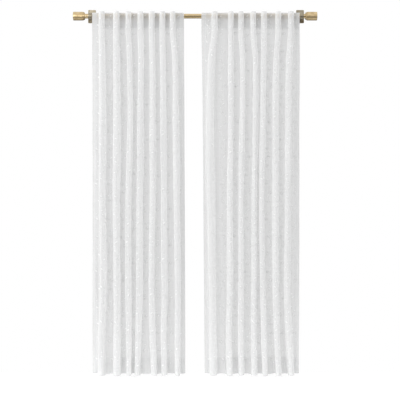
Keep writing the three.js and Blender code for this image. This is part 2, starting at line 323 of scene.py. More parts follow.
@dataclass(frozen=True)
class Fold:
    """One fold of a panel, measured in mm from the panel's own left end at the heading."""

    wall: tuple[float, ...]  # its left wall at each of LEVELS_MM from the second on
    spread: tuple[float, ...]  # from its left wall to its right wall at the same levels
    cloth: float  # its share of the cloth
    lean: float  # how far its crest leans sideways
    push: float  # how far it hangs forward at the hem


LEFT_FOLDS = (
    Fold((51, 51, 52, 49, 57, 42, 43), (21, 27, 31, 31, 31, 35, 35), 1.03, -3, 4),
    Fold((133, 127, 127, 123, 130, 129, 129), (21, 34, 37, 37, 34, 35, 35), 1.08, 4, 9),
    Fold((209, 218, 220, 208, 209, 213, 216), (20, 19, 22, 25, 25, 21, 18), 0.94, -4, 12),
    Fold((279, 283, 275, 270, 270, 263, 260), (20, 21, 27, 29, 30, 25, 21), 1.02, -2, 5),
    Fold((340, 343, 343, 342, 335, 341, 351), (21, 23, 26, 27, 29, 31, 28), 0.98, 5, 0),
    Fold((408, 409, 411, 415, 418, 413, 418), (20, 25, 26, 25, 25, 26, 26), 0.97, -3, 3),
    Fold((464, 476, 480, 485, 492, 493, 490), (20, 22, 25, 25, 22, 21, 23), 0.96, 3, 8),
)
RIGHT_FOLDS = (
    Fold((68, 45, 35, 40, 49, 53, 56), (22, 33, 37, 37, 35, 33, 32), 1.07, -4, 2),
    Fold((160, 159, 159, 153, 152, 146, 150), (21, 22, 23, 25, 26, 27, 27), 0.97, 3, 7),
    Fold((223, 232, 231, 221, 220, 218, 222), (21, 21, 21, 23, 26, 26, 26), 0.95, -2, 10),
    Fold((290, 302, 302, 295, 295, 292, 291), (21, 21, 22, 22, 22, 25, 27), 0.96, 4, 4),
    Fold((359, 354, 351, 342, 348, 357, 363), (21, 27, 26, 25, 26, 26, 26), 0.99, -4, 6),
    Fold((441, 426, 420, 419, 422, 432, 440), (21, 27, 31, 31, 29, 23, 22), 1.02, -2, 12),
    Fold((512, 499, 493, 492, 486, 495, 510), (21, 27, 31, 27, 29, 32, 27), 1.04, 3, 5),
)


# ---- the drape


@dataclass(frozen=True)
class Drape:
    """How one panel hangs: its folds, its side edges and the surface that they make.

    A fold is a meander in plan. Along it the cloth's direction swings from 0 at its left foot to -bend at
    its left wall, back to 0 at the crest, to +bend at its right wall and to 0 at its right foot. In the
    heading the folds are narrow pleats with tight feet, and below it they open out while the flats
    between them settle back.
    """

    start_mm: float  # the panel's left end along the rod
    left_edge: tuple[float, ...]  # its left side at LEVELS_MM from the second on, in mm from that end
    right_edge: tuple[float, ...]  # its right side at the same levels
    folds: tuple[Fold, ...]  # left to right
    seed: int  # what sets its small uneven ripples

    STEPS = 100  # straight steps along one fold
    FLAT_STEPS = 10  # straight steps along one flat
    PLEAT_CHORD, OPEN_CHORD = 1.3, 2.0  # distance between a fold's feet over its spread
    PLEAT_POWER, OPEN_POWER = 0.62, 0.9  # how close to its feet the walls turn
    MOST_BEND, HALVINGS = 2.3, 20  # the largest bend tried, and how often the search for it halves
    OPENING_MM = 260.0  # the way below the heading over which the folds open
    SETTLE_MM, SETTLE_OVER_MM = 11.0, 500.0  # how far the flats settle back, and over which way
    EDGE_TURN_MM, EDGE_WIDTH_MM = 7.0, 40.0  # how the side edges turn back towards the wall
    HEM_WAVE_MM, HEM_SLOW_MM, HEM_QUICK_MM = 2.0, 61.0, 23.0  # the bottom edge's uneven height
    ROW_MM, COLUMN_MM = 6.0, 1.4  # spacing of the table that stands for the surface

    RIPPLES_MM = ((17, 0.24), (23, 0.65), (31, 1.3), (44, 1.9), (62, 1.8), (89, 1.5))  # length, height
    UNEVEN = (0.9, 1.1)  # what a ripple's length is multiplied by, at random between the two
    DRIFT, DRIFT_MM = 0.7, (700, 1500)  # how far a ripple wanders, in radians, and how slowly
    SWELL, SWELL_MM = 0.4, (420, 900)  # how far its height comes and goes, and how slowly
    RIPPLES_OVER_MM = 500.0  # the way below the heading over which the ripples grow
    FLUTTER_MM, FLUTTER_OVER_MM = 1.5, 260.0  # the flutter's height, and the way it grows over
    FLUTTER_SLOW_MM, FLUTTER_QUICK_MM, FLUTTER_QUICK = 71, 43, 0.7  # its two waves

    @staticmethod
    def at_levels(values: Array, drops: Array) -> Array:
        """Smooth curve through the values given at the levels, held all the way down the heading.

        Between two levels it is a cubic. Its slope at a level is that of the straight line between the
        level's neighbours, and 0 at the heading's lower edge and at the bottom.

        Args:
            values: numbers at LEVELS_MM from the second on, along the last axis.
            drops: distances below the top edge, in mm.

        Returns:
            The values at drops, along the last axis.
        """
        held = np.concatenate([values[..., :1], values], -1)
        slope = np.zeros_like(held)
        slope[..., 2:-1] = (held[..., 3:] - held[..., 1:-2]) / (LEVELS_MM[3:] - LEVELS_MM[1:-2])
        i = np.clip(np.searchsorted(LEVELS_MM, drops) - 1, 0, len(LEVELS_MM) - 2)
        span = LEVELS_MM[i + 1] - LEVELS_MM[i]
        t = (drops - LEVELS_MM[i]) / span
        bow = t * (1 - t) * span * ((1 - t) * slope[..., i] - t * slope[..., i + 1])
        rise = smoothstep(t)
        return held[..., i] * (1 - rise) + held[..., i + 1] * rise + bow

    def swing(self, power: Array) -> Array:
        """How the bend comes and goes along a fold.

        It is the sine of pi times the way from the nearer foot to the crest, raised to a power, and
        negative on the left half.

        Args:
            power: the power at each level.

        Returns:
            The share of the bend at the middle of each step of a fold, one row for each level.
        """
        u = (np.arange(self.STEPS) + 0.5) / self.STEPS
        from_foot = 2 * np.minimum(u, 1 - u)
        return np.where(u < 0.5, -1, 1) * np.sin(np.pi * from_foot ** power[:, None])

    def bend_for(self, ratio: Array, swing: Array) -> Array:
        """The bend at which a fold's chord is this share of its cloth, found by halving.

        Args:
            ratio: chord over cloth length, for each fold and level.
            swing: the share of the bend along a fold, for each level.

        Returns:
            The bend in radians, for each fold and level.
        """
        low, high = np.zeros_like(ratio), np.full_like(ratio, self.MOST_BEND)
        for _ in range(self.HALVINGS):
            middle = (low + high) / 2
            short = np.cos(middle[..., None] * swing).mean(-1) > ratio
            low, high = np.where(short, middle, low), np.where(short, high, middle)
        return (low + high) / 2

    def plan(self, drops: Array) -> tuple[Array, Array]:
        """The middle line of the cloth, seen from above, at each of some levels.

        A fold has its share of the cloth that the flats leave. Its line is the running sum of equal steps
        in the directions that its bend gives, and its crest's lean and push are added with a sine squared.
        A flat is straight from the foot of one fold to the foot of the next, and the side edges curve back.

        Args:
            drops: distances below the top edge, in mm.

        Returns:
            Distances along the rod and distances behind the flats of the heading, in mm, one row for each
            level and one column for each point from the left edge to the right edge.
        """
        opened = smoothstep((drops - LEVELS_MM[1]) / self.OPENING_MM)
        settled = smoothstep((drops - LEVELS_MM[1]) / self.SETTLE_OVER_MM)
        chord_factor = self.PLEAT_CHORD + (self.OPEN_CHORD - self.PLEAT_CHORD) * opened
        swing = self.swing(self.PLEAT_POWER + (self.OPEN_POWER - self.PLEAT_POWER) * opened)
        left = self.at_levels(np.array(self.left_edge, float), drops)
        right = self.at_levels(np.array(self.right_edge, float), drops)
        spread = self.at_levels(np.array([fold.spread for fold in self.folds], float), drops)
        middle = self.at_levels(np.array([fold.wall for fold in self.folds], float), drops) + spread / 2
        chord = spread * chord_factor
        feet = np.stack([middle - chord / 2, middle + chord / 2], -1)
        share = np.array([fold.cloth for fold in self.folds])
        share /= share.sum()
        in_folds = CLOTH.flat_width / MM - (right - left - chord.sum(0))
        length = share[:, None] * in_folds
        turn = self.bend_for(chord / length, swing)[..., None] * swing

        def summed(steps: Array) -> Array:
            """Returns running sums that start at 0."""
            return np.concatenate([np.zeros_like(steps[..., :1]), np.cumsum(steps, -1)], -1)

        def by_turns(flats: Array, folds: Array, last: Array) -> Array:
            """Returns each level's flats and folds by turns, and its last point."""
            pairs = np.concatenate([flats[:-1], folds[..., :-1]], -1)
            return np.hstack([*pairs, flats[-1], last[:, None]])

        step = length[..., None] / self.STEPS
        crest = np.sin(np.linspace(0, np.pi, self.STEPS + 1)) ** 2
        lean = np.array([fold.lean for fold in self.folds])[:, None, None] * crest
        push = np.array([fold.push for fold in self.folds])[:, None] * (drops / LEVELS_MM[-1]) ** 2
        x = feet[..., :1] + summed(np.cos(turn) * step) + lean
        forward = -summed(np.sin(turn) * step) + push[..., None] * crest

        share_of_flat = np.arange(self.FLAT_STEPS) / self.FLAT_STEPS
        starts = np.vstack([left[None], feet[..., 1]])
        ends = np.vstack([feet[..., 0], right[None]])
        flats = starts[..., None] + (ends - starts)[..., None] * share_of_flat
        x_all = by_turns(flats, x, right)
        forward_all = by_turns(np.zeros_like(flats), forward, np.zeros_like(right))

        from_edge = np.minimum(x_all - left[:, None], right[:, None] - x_all) / self.EDGE_WIDTH_MM
        edge = self.EDGE_TURN_MM * settled[:, None] * np.maximum(0, 1 - from_edge) ** 2
        return self.start_mm + x_all, self.SETTLE_MM * settled[:, None] + edge - forward_all

    def ripples(self, across: Array, drops: Array) -> Array:
        """Small uneven ripples of hanging voile.

        A sum of waves that run across the cloth, wander as they go down it and come and go in height.
        They are absent from the heading and grow below it, and a wider flutter, a slow wave and a quick
        one, joins them near the bottom edge.

        Args:
            across: distances across the flat cloth, in mm.
            drops: distances below the top edge, in mm, one for each row.

        Returns:
            How far the cloth stands out towards the room, in mm, by row and column.
        """
        draw = np.random.default_rng(self.seed)
        down, total = drops[:, None], np.zeros((len(drops), len(across)))
        for length, height in self.RIPPLES_MM:
            phase, wander, slow = draw.uniform(0, 2 * np.pi, 3)
            drift = self.DRIFT * np.sin(2 * np.pi * down / draw.uniform(*self.DRIFT_MM) + wander)
            comes = self.SWELL * np.sin(2 * np.pi * down / draw.uniform(*self.SWELL_MM) + slow)
            turn = 2 * np.pi * across / (length * draw.uniform(*self.UNEVEN))
            total += height * (1 - self.SWELL + comes) * np.sin(turn + phase + drift)
        total *= smoothstep((down - LEVELS_MM[1]) / self.RIPPLES_OVER_MM)
        near_hem = smoothstep((down - LEVELS_MM[-1] + self.FLUTTER_OVER_MM) / self.FLUTTER_OVER_MM) ** 2
        phase = draw.uniform(0, 6)
        flutter = np.sin(2 * np.pi * across / self.FLUTTER_SLOW_MM + phase)
        flutter += self.FLUTTER_QUICK * np.sin(2 * np.pi * across / self.FLUTTER_QUICK_MM)
        return total + self.FLUTTER_MM * near_hem * flutter

    def table(self) -> tuple[Array, Array, Array]:
        """Works the hanging surface out on an even table of cloth coordinates.

        At each level the plan is cut into equal shares of its own length, so that a thread of the warp
        keeps its place across the cloth from the top edge to the bottom edge. Ripples are then added
        along the normal, and the bottom edge is raised by one plus the product of two sines.

        Returns:
            The places across the flat cloth, the drops, and the points by row and column, in metres.
        """
        drops = np.linspace(0, LEVELS_MM[-1], round(LEVELS_MM[-1] / self.ROW_MM) + 1)
        width = CLOTH.flat_width / MM
        across = np.linspace(0, width, round(width / self.COLUMN_MM) + 1)
        x, back = self.plan(drops)
        way = np.cumsum(np.hypot(np.diff(x, axis=1), np.diff(back, axis=1)), 1)
        way = np.hstack([np.zeros((len(drops), 1)), way])
        way *= width / way[:, -1:]
        x = np.array([np.interp(across, w, row) for w, row in zip(way, x)])
        back = np.array([np.interp(across, w, row) for w, row in zip(way, back)])
        run_x, run_y = np.gradient(x, axis=1), np.gradient(back, axis=1)
        run = np.hypot(run_x, run_y)
        out = self.ripples(across, drops)
        x, back = x + run_y / run * out, back - run_x / run * out
        wave = 1 + np.sin(x / self.HEM_SLOW_MM) * np.sin(x / self.HEM_QUICK_MM)
        last_stretch = (drops[:, None] - LEVELS_MM[-2]) / (LEVELS_MM[-1] - LEVELS_MM[-2])
        height = CLOTH.top_height - (drops[:, None] - self.HEM_WAVE_MM * wave * smoothstep(last_stretch)) * MM
        plane = -(HARDWARE.rod_from_wall + HARDWARE.rod_radius + CLOTH.rod_clearance + CLOTH.half_heading)
        return across * MM, drops * MM, np.stack([x * MM, plane + back * MM, height], -1)

    def flat_middles(self) -> Array:
        """The middles of the heading's flats.

        Returns:
            Where they lie along the rod, left to right.
        """
        wall = np.array([fold.wall[0] for fold in self.folds], float)
        spread = np.array([fold.spread[0] for fold in self.folds], float)
        half = spread * self.PLEAT_CHORD / 2
        starts = np.r_[self.left_edge[0], wall + spread / 2 + half]
        ends = np.r_[wall + spread / 2 - half, self.right_edge[0]]
        return (self.start_mm + (starts + ends) / 2) * MM


class HungCloth:
    """The surface of a hanging panel, to be asked for any place on the cloth."""

    def __init__(self, drape: Drape) -> None:
        """Works out the table and its slopes.

        Args:
            drape: how the panel hangs.
        """
        self.across, self.drops, self.points = drape.table()
        self.run_across = np.gradient(self.points, self.across, axis=1)
        self.run_down = np.gradient(self.points, self.drops, axis=0)
        normal = np.cross(self.run_down, self.run_across)
        self.normal = normal / np.linalg.norm(normal, axis=-1, keepdims=True)

    def read(self, table: Array, across: Array, down: Array) -> Array:
        """Reads a table between its entries, by shares of the four round each place, the nearer the larger.

        Args:
            table: an entry for each row and column of the surface's table.
            across: distance across the flat cloth from its left edge.
            down: distance below the top edge.

        Returns:
            What the table says there, held past its edges.
        """

        def cell(place: Array, marks: Array) -> tuple[Array, Array]:
            """Finds places between the entries of one side of the table.

            Args:
                place: the places.
                marks: where the entries lie, evenly from 0.

            Returns:
                The entry before each place, and the share of the way from it to the next.
            """
            at = np.clip(place / marks[-1] * (len(marks) - 1), 0, len(marks) - 1)
            before = np.minimum(at.astype(int), len(marks) - 2)
            return before, (at - before)[..., None]

        column, right = cell(across, self.across)
        row, low = cell(down, self.drops)
        upper = table[row, column] * (1 - right) + table[row, column + 1] * right
        lower = table[row + 1, column] * (1 - right) + table[row + 1, column + 1] * right
        return upper * (1 - low) + lower * low

    def at(self, across: Array, down: Array, lift: Array) -> Array:
        """Places on or near the cloth.

        The place is the table's point, plus the slopes times whatever lies past the cloth's edges, plus
        the lift along the normal.

        Args:
            across: distance across the flat cloth from its left edge.
            down: distance below the top edge.
            lift: distance out of the cloth, towards the room.

        Returns:
            The points, one for each place.
        """
        across, down, lift = np.broadcast_arrays(across, down, lift)
        past_across = across - np.clip(across, 0, self.across[-1])
        past_down = down - np.clip(down, 0, self.drops[-1])
        return (
            self.read(self.points, across, down)
            + self.read(self.run_across, across, down) * past_across[..., None]
            + self.read(self.run_down, across, down) * past_down[..., None]
            + self.read(self.normal, across, down) * lift[..., None]
        )

    def steepness(self, across: Array, down: Array) -> Array:
        """Returns how far the cloth turns out of the wall's direction, from 0 in a flat to 1 in a wall."""
        return 1 - np.abs(self.read(self.normal, across, down)[..., 1])


# ---- shader language


def math_operator(operation: str, swapped: bool = False) -> Callable[[Value, Any], Value]:
    """An operator of Value.

    Args:
        operation: the Math node's operation.
        swapped: whether it is the reflected form, with the other term first.

    Returns:
        The method, which adds one Math node.
    """

    def method(self: Value, other: Any) -> Value:
        """Returns the result of the operation on the two terms."""
        return self.calculated(operation, *((other, self) if swapped else (self, other)))

    return method


class Value:
    """A shader socket in a Python sum. Each operator adds one Math node."""

    def __init__(self, graph: Graph, socket: bpy.types.NodeSocket) -> None:
        """Keeps the graph and the socket."""
        self.graph = graph
        self.socket = socket

    def calculated(self, operation: str, *terms: Any) -> Value:
        """Returns the result of a Math node on the terms."""
        node = self.graph.node("ShaderNodeMath", {"operation": operation}, dict(enumerate(terms)))
        return Value(self.graph, node.outputs[0])

    __add__, __radd__ = math_operator("ADD"), math_operator("ADD", swapped=True)
    __sub__, __rsub__ = math_operator("SUBTRACT"), math_operator("SUBTRACT", swapped=True)
    __mul__, __rmul__ = math_operator("MULTIPLY"), math_operator("MULTIPLY", swapped=True)

    def sine(self) -> Value:
        """Returns the sine of self, in radians."""
        return self.calculated("SINE", self)

    def between(self, low: float, high: float) -> Value:
        """A smooth rise.

        Args:
            low: the value at which it starts.
            high: the value at which it ends.

        Returns:
            0 where self is below low, 1 above high and the rise between.
        """
        inputs = {"Value": self, "From Min": low, "From Max": high}
        node = self.graph.node("ShaderNodeMapRange", {"interpolation_type": "SMOOTHSTEP"}, inputs)
        return Value(self.graph, node.outputs["Result"])

    def held(self, low: float, high: float) -> Value:
        """Returns self, held between low and high."""
        node = self.graph.node("ShaderNodeClamp", {}, {"Value": self, "Min": low, "Max": high})
        return Value(self.graph, node.outputs[0])


class Coordinates(Enum):
    """Where a pattern takes its place from: a node's type, its settings and its output."""

    SURFACE = ("ShaderNodeUVMap", {"uv_map": UV_NAME}, "UV")
    OBJECT = ("ShaderNodeTexCoord", {}, "Object")


class Graph:
    """The nodes of one material, or of the world."""

    def __init__(self, owner: bpy.types.Material | bpy.types.World) -> None:
        """Empties the owner's nodes.

        Args:
            owner: the material or world that the nodes are for.
        """
        self.owner = owner
        owner.use_nodes = True
        self.tree = owner.node_tree
        self.tree.nodes.clear()

    @classmethod
    def of_material(cls, name: str) -> Graph:
        """Starts a new material of this name."""
        return cls(bpy.data.materials.new(name))

    def node(self, kind: str, settings: dict[str, Any], inputs: dict[Any, Any]) -> bpy.types.Node:
        """Adds a node.

        Args:
            kind: the node's type.
            settings: its properties, set first.
            inputs: for each socket, by name or number, a number, a colour, a Value or another socket.

        Returns:
            The node.
        """
        node = self.tree.nodes.new(kind)
        for key, value in settings.items():
            setattr(node, key, value)
        for key, value in inputs.items():
            if isinstance(value, Value):
                value = value.socket
            if isinstance(value, bpy.types.NodeSocket):
                self.tree.links.new(value, node.inputs[key])
            else:
                node.inputs[key].default_value = value
        return node

    def place(self, kind: Coordinates, scale: Place) -> bpy.types.NodeSocket:
        """The coordinates of a pattern.

        Args:
            kind: where they come from.
            scale: what they are multiplied by.

        Returns:
            The coordinates, in metres times scale.
        """
        name, settings, output = kind.value
        start = self.node(name, settings, {}).outputs[output]
        return self.node("ShaderNodeMapping", {}, {"Vector": start, "Scale": scale}).outputs[0]

    def split(self, vector: bpy.types.NodeSocket) -> list[Value]:
        """Returns the three numbers of a vector."""
        node = self.node("ShaderNodeSeparateXYZ", {}, {0: vector})
        return [Value(self, out) for out in node.outputs]

    def metres(self) -> list[Value]:
        """Returns the three numbers of the surface's own coordinates, in metres."""
        return self.split(self.place(Coordinates.SURFACE, (1, 1, 1)))

    def noise(self, kind: Coordinates, blots: Place, detail: float, rough: float = 0.5) -> Value:
        """Soft noise.

        Args:
            kind: where its coordinates come from.
            blots: about how many blots there are to a metre, each way.
            detail: how many finer noises are added to it.
            rough: how strong they are.

        Returns:
            The noise, from 0 to 1.
        """
        inputs = {"Vector": self.place(kind, blots), "Scale": 1.0, "Detail": detail, "Roughness": rough}
        return Value(self, self.node("ShaderNodeTexNoise", {}, inputs).outputs[0])

    def attribute(self, name: str) -> Value:
        """Returns a number that the mesh keeps by point."""
        return Value(self, self.node("ShaderNodeAttribute", {"attribute_name": name}, {}).outputs["Fac"])

    def blend(self, share: Value, low: Colour, high: Colour) -> bpy.types.NodeSocket:
        """Returns a colour between low at share 0 and high at share 1."""
        return self.node("ShaderNodeMix", {"data_type": "RGBA"}, {0: share, 6: low, 7: high}).outputs[2]

    def bump(self, height: Value, distance: float, strength: float = 1.0) -> bpy.types.NodeSocket:
        """Returns the normal of a surface raised by height times distance."""
        inputs = {"Height": height, "Distance": distance, "Strength": strength}
        return self.node("ShaderNodeBump", {}, inputs).outputs[0]

    def principled(self, inputs: dict[str, Any]) -> bpy.types.Node:
        """Returns the general shader with these inputs."""
        return self.node("ShaderNodeBsdfPrincipled", {}, inputs)

    def background(self, strength: Value) -> bpy.types.Node:
        """Returns a white backdrop of this strength."""
        return self.node("ShaderNodeBackground", {}, {"Color": WHITE, "Strength": strength})

    def mix(self, share: Any, low: bpy.types.Node, high: bpy.types.Node) -> bpy.types.Node:
        """Returns a shader that is low at share 0 and high at share 1."""
        return self.node("ShaderNodeMixShader", {}, {0: share, 1: low.outputs[0], 2: high.outputs[0]})

    def open_weave(self, cover: Any, yarns: bpy.types.Node) -> bpy.types.Node:
        """Returns a shader that is yarns on a share of the surface and clear holes on the rest."""
        return self.mix(cover, self.node("ShaderNodeBsdfTransparent", {}, {"Color": WHITE}), yarns)

    def finish(self, shader: bpy.types.Node) -> bpy.types.Material | bpy.types.World:
        """Sends a shader to the output.

        Args:
            shader: the whole finish.

        Returns:
            The material or the world.
        """
        kind = "Material" if isinstance(self.owner, bpy.types.Material) else "World"
        self.node(f"ShaderNodeOutput{kind}", {}, {"Surface": shader.outputs[0]})
        return self.owner


# ---- finishes


@dataclass(frozen=True)
class VoileFinish:
    """Thin white cotton voile: see-through between its yarns, with uneven yarns both ways."""

    name: str = "white_voile"
    loose_and_shaded_colour: Colour = (0.86, 0.865, 0.87, 1)  # the yarns where the weave is loose, and the painted shade of the flats between the folds
    dense_and_lit_colour: Colour = (0.95, 0.95, 0.945, 1)  # the yarns where it is dense, and the painted highlight on the walls of the folds
    cover: float = 0.54  # how much of the cloth is yarn
    slub_cover: float = 0.34  # how much more or less of it is where the yarns are thick or thin
    cloud_cover: float = 0.08  # how much more or less in wide soft patches
    wall_cover: float = 0.4  # how much more where a fold stands edge-on to the room
    glow: float = 0.45  # the share of the light in the yarns that comes out on the other side
    yarns_per_metre: float = 2200.0  # side by side, both ways
    warp_slubs: Place = (700, 7, 1)  # blots to a metre across and down: long and narrow, down the cloth
    weft_slubs: Place = (9, 620, 1)  # the same, along the weft
    clouds: Place = (14, 9, 1)  # wide ones
    relief: float = 0.5 * MM  # of the bump
    least_cover: float = 0.05

    def material(self) -> bpy.types.Material:
        """Makes the material.

        The cover is a base, plus a little for thick warp yarns, which are long narrow noise down the
        cloth, plus a little for thick weft yarns, plus the share that fold walls add. The weave is a sine
        each way.

        Returns:
            The finished material.
        """
        graph = Graph.of_material(self.name)
        warp = graph.noise(Coordinates.SURFACE, self.warp_slubs, 3, 0.6)
        weft = graph.noise(Coordinates.SURFACE, self.weft_slubs, 3, 0.6)
        cloudy = graph.noise(Coordinates.SURFACE, self.clouds, 2)
        across, down, _ = graph.metres()
        turn = 2 * math.pi * self.yarns_per_metre
        weave = (across * turn).sine() * 0.25 + (down * turn).sine() * 0.25 + 0.5
        stand = graph.attribute(STAND)
        slubs = warp * 0.55 + weft * 0.45
        uneven = (slubs - 0.5) * self.slub_cover + (cloudy - 0.5) * self.cloud_cover
        cover = self.cover + uneven + stand * stand * self.wall_cover
        # lighter where the yarns are thick, and painted lighter where a fold's wall stands edge-on to the
        # room: a painted highlight on the walls and painted shade on the flats
        colour = graph.blend((slubs * 0.6 + stand * 0.4).held(0, 1), self.loose_and_shaded_colour, self.dense_and_lit_colour)
        normal = graph.bump(weave * 0.4 + slubs * 0.6, self.relief, 0.6)
        cloth = graph.principled(
            {
                "Base Color": colour,
                "Roughness": 0.82 - slubs * 0.12,
                "Normal": normal,
                "Specular IOR Level": 0.25,
                "Sheen Weight": 0.25,
                "Sheen Roughness": 0.4,
            }
        )
        through = graph.node("ShaderNodeBsdfTranslucent", {}, {"Color": colour, "Normal": normal})
        yarns = graph.mix(self.glow, cloth, through)
        return graph.finish(graph.open_weave(cover.held(self.least_cover, 1), yarns))


@dataclass(frozen=True)
class ThreadFinish:
    """White cotton thread laid side by side, as in embroidery and seams."""

    name: str
    colour: Colour = (0.905, 0.905, 0.9, 1)  # the thread in the light
    shade: Colour = (0.84, 0.845, 0.85, 1)  # the thread between its strands
    strands_per_metre: float = 1800.0
    wobble: Place = (900, 900, 1)  # blots to a metre of the noise that sets the strands off line
    relief: float = 0.2 * MM  # of the bump
    roughness: float = 0.55
    cover: float = 1.0  # how much of the stitched ground is thread

    def material(self) -> bpy.types.Material:
        """Makes the material. Strands are a sine across the stitches, set off line by a little noise.

        Returns:
            The finished material.
        """
        graph = Graph.of_material(self.name)
        along, _, _ = graph.metres()
        wobble = graph.noise(Coordinates.SURFACE, self.wobble, 2)
        strands = (along * (2 * math.pi * self.strands_per_metre) + wobble * 3).sine() * 0.5 + 0.5
        thread = graph.principled(
            {
                "Base Color": graph.blend(strands.between(0, 0.7), self.shade, self.colour),
                "Roughness": self.roughness + wobble * 0.15,
                "Normal": graph.bump(strands, self.relief, 0.5),
                "Specular IOR Level": 0.1,
            }
        )
        return graph.finish(graph.open_weave(self.cover, thread))


@dataclass(frozen=True)
class MetalFinish:
    """Metal with the fine rings of a lathe or the fine lines of a brush, and a few dull blots."""

    name: str
    colour: Colour  # the clean metal
    dull: Colour  # the metal where it has dulled
    roughness: float  # of the clean metal
    lines: Place  # how many lines there are in a metre along X, Y and Z
    line_depth: float = 0.015 * MM
    blots: Place = (42, 42, 42)  # dull blots to a metre

    def material(self) -> bpy.types.Material:
        """Makes the material. The lines are noise drawn out across them, and the blots are wide noise.

        Returns:
            The finished material.
        """
        graph = Graph.of_material(self.name)
        lines = graph.noise(Coordinates.OBJECT, self.lines, 3, 0.6)
        blots = graph.noise(Coordinates.OBJECT, self.blots, 3)
        dulled = (blots * 0.7 + lines * 0.3).between(0.42, 0.72)
        metal = graph.principled(
            {
                "Base Color": graph.blend(dulled, self.colour, self.dull),
                "Metallic": 1.0,
                "Roughness": self.roughness + dulled * 0.12 + lines * 0.06,
                "Normal": graph.bump(lines, self.line_depth),
            }
        )
        return graph.finish(metal)


@dataclass(frozen=True)
class FloorFinish:
    """A plain pale floor."""

    colour: Colour = (0.36, 0.36, 0.36, 1)
    glow: float = 0.66  # how bright it is by itself, so that it meets the white backdrop without an edge
    clouds: Place = (3, 3, 3)  # soft patches to a metre

    def material(self) -> bpy.types.Material:
        """Makes the material. Its roughness has a faint unevenness, which is wide noise.

        Returns:
            The finished material.
        """
        graph = Graph.of_material("pale_floor")
        cloudy = graph.noise(Coordinates.OBJECT, self.clouds, 3)
        floor = graph.principled(
            {
                "Base Color": self.colour,
                "Roughness": 0.7 + cloudy * 0.1,
                "Specular IOR Level": 0.1,
                "Emission Color": WHITE,
                "Emission Strength": self.glow,
            }
        )
        return graph.finish(floor)


class Slot(Enum):
    """The record's material slots."""

    VOILE = "voile"
    TAB_VOILE = "tab_voile"
    ROD_BRASS = "rod_brass"
    BRACKET_BRASS = "bracket_brass"


class Finishes:
    """Every material, made once."""

    def __init__(self) -> None:
        """Makes the materials."""
        self.voile = VoileFinish().material()
        self.tab_voile = VoileFinish("tab_voile", cover=0.38).material()
        self.embroidery = ThreadFinish("embroidery_thread", cover=0.72).material()
        self.sewing = ThreadFinish("sewing_thread", roughness=0.65).material()
        brass, dulled = (0.63, 0.49, 0.285, 1), (0.44, 0.33, 0.175, 1)
        polished = MetalFinish("polished_brass", brass, dulled, roughness=0.22, lines=(2600, 30, 30))
        self.brass = polished.material()
        brushed = replace(polished, name="brushed_brass", roughness=0.32, lines=(60, 700, 700))
        self.brushed = brushed.material()
        # the brackets' brass is a darker copy of the rod's: painted shade, for brass that lies in shadow; the
        # second colour is its dulled blots
        shaded_brass, shaded_dull_brass = (0.34, 0.3, 0.225, 1), (0.26, 0.225, 0.16, 1)
        bracket = MetalFinish("bracket_shaded_brass", shaded_brass, shaded_dull_brass, roughness=0.28, lines=(60, 60, 1900))
        self.shaded_brass = bracket.material()
        self.floor = FloorFinish().material()


def dressed(
    surface: Surface, name: str, material: bpy.types.Material, slot: Slot, *nodes: str
) -> bpy.types.Object:
    """Makes a piece, gives it its material and its body, and hides the CAD nodes that it stands for.

    Args:
        surface: the piece's surface.
        name: its name.
        material: its material.
        slot: the record's slot that its finish comes from; not used.
        nodes: the CAD nodes that it replaces.

    Returns:
        The piece.
    """
    piece = surface.to_object(name)
    piece.data.materials.append(material)
    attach(piece, BODY)
    if nodes:
        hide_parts(*nodes)
    return piece


# ---- small sewn-on shapes


@dataclass(frozen=True)
class Bead:
    """A small closed lozenge of thread, such as a stitch, a leaf or a dot.

    Along its length, at share a, its half width is the sine of pi a raised to a power, times half the
    width. Its height is that share raised to a smaller power, times the height. Round it, at angle b, it
    lies at cos b of the half width and sin b of the height.
    """

    length: float  # from tip to tip
    width: float  # at its widest
    height: float  # how far it stands out of the cloth in front and behind
    stations: int  # rings of points along it
    sides: int  # points in a ring
    bluntness: float = 0.8  # the power; a small one gives blunt ends

    FULLNESS = 0.7  # the smaller power

    def template(self) -> Surface:
        """One bead round the origin.

        Returns:
            The bead, with X along it, Y across it and Z out of the cloth.
        """
        share = np.linspace(0, 1, self.stations + 2)[:, None]
        angle = np.arange(self.sides) * 2 * np.pi / self.sides
        full = np.sin(np.pi * share) ** self.bluntness
        full[[0, -1]] = 0
        along = (share - 0.5) * self.length + 0 * angle
        across = full * self.width / 2 * np.cos(angle)
        out = full**self.FULLNESS * self.height * np.sin(angle)
        return spindle(np.stack([along, across, out], -1), np.stack([along, across], -1))

    def sewn(self, cloth: HungCloth, across: Field, down: Field, heading: Field) -> Surface:
        """Sews one bead at each of many places.

        Args:
            cloth: the hanging cloth.
            across: where each middle lies across the cloth.
            down: where it lies below the top edge.
            heading: the angle of each bead's length, from straight across the cloth towards down.

        Returns:
            All the beads as one surface.
        """
        one = self.template()
        across, down, heading = np.broadcast_arrays(across, down, heading)
        cos, sin = np.cos(heading)[:, None], np.sin(heading)[:, None]
        x, y, out = one.points.T
        points = cloth.at(across[:, None] + cos * x - sin * y, down[:, None] + sin * x + cos * y, out[None])
        starts = np.arange(len(across))[:, None, None] * len(one.points)
        uv = one.uv[None] + np.stack([across, down], -1)[:, None]
        return Surface(points.reshape(-1, 3), (one.faces[None] + starts).reshape(-1, 4), uv.reshape(-1, 2))


# ---- panels


